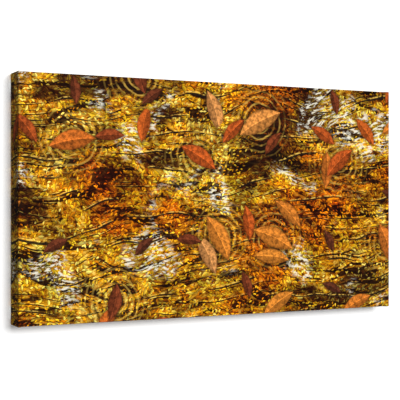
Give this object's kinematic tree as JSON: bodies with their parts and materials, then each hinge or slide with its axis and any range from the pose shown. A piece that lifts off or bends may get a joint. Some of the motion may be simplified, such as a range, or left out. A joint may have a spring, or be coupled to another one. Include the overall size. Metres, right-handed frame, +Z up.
{
  "type": "stretched canvas wall print",
  "caption": "Gallery-wrapped canvas print on mitred pine stretcher bars, folded at the corners, stapled behind, with a sawtooth hanger and wall bumpers.",
  "frame": {"origin": "on the wall plane, at the middle notch of the sawtooth hanger, where the wall nail bears", "axes": "+X to the right as seen from the front, +Y from the picture into the wall, +Z up; the printed face looks along -Y"},
  "size_m": [0.61, 0.041, 0.3446],
  "materials": {
    "printed_canvas": "matt woven canvas, printed in gold, amber and dark umber, bare off-white at the back",
    "pine": "planed, unfinished",
    "staple_steel": "zinc-plated wire",
    "brass_plate": "thin bright plating",
    "bumper_rubber": "matt, moulded"
  },
  "bodies": {
    "root": {"canvas": "printed_canvas", "bar_top": "pine", "bar_right": "pine", "bar_bottom": "pine", "bar_left": "pine", "staple_top_1": "staple_steel", "staple_top_2": "staple_steel", "staple_top_3": "staple_steel", "staple_top_4": "staple_steel", "staple_top_5": "staple_steel", "staple_top_6": "staple_steel", "staple_top_7": "staple_steel", "staple_top_8": "staple_steel", "staple_top_9": "staple_steel", "staple_top_10": "staple_steel", "staple_top_11": "staple_steel", "staple_right_1": "staple_steel", "staple_right_2": "staple_steel", "staple_right_3": "staple_steel", "staple_right_4": "staple_steel", "staple_right_5": "staple_steel", "staple_right_6": "staple_steel", "staple_bottom_1": "staple_steel", "staple_bottom_2": "staple_steel", "staple_bottom_3": "staple_steel", "staple_bottom_4": "staple_steel", "staple_bottom_5": "staple_steel", "staple_bottom_6": "staple_steel", "staple_bottom_7": "staple_steel", "staple_bottom_8": "staple_steel", "staple_bottom_9": "staple_steel", "staple_bottom_10": "staple_steel", "staple_bottom_11": "staple_steel", "staple_left_1": "staple_steel", "staple_left_2": "staple_steel", "staple_left_3": "staple_steel", "staple_left_4": "staple_steel", "staple_left_5": "staple_steel", "staple_left_6": "staple_steel", "joint_staple_top_left": "staple_steel", "joint_staple_top_right": "staple_steel", "joint_staple_bottom_left": "staple_steel", "joint_staple_bottom_right": "staple_steel", "hanger": "brass_plate", "hanger_nail_left": "brass_plate", "hanger_nail_right": "brass_plate", "bumper_left": "bumper_rubber", "bumper_right": "bumper_rubber"}
  },
  "joints": []
}
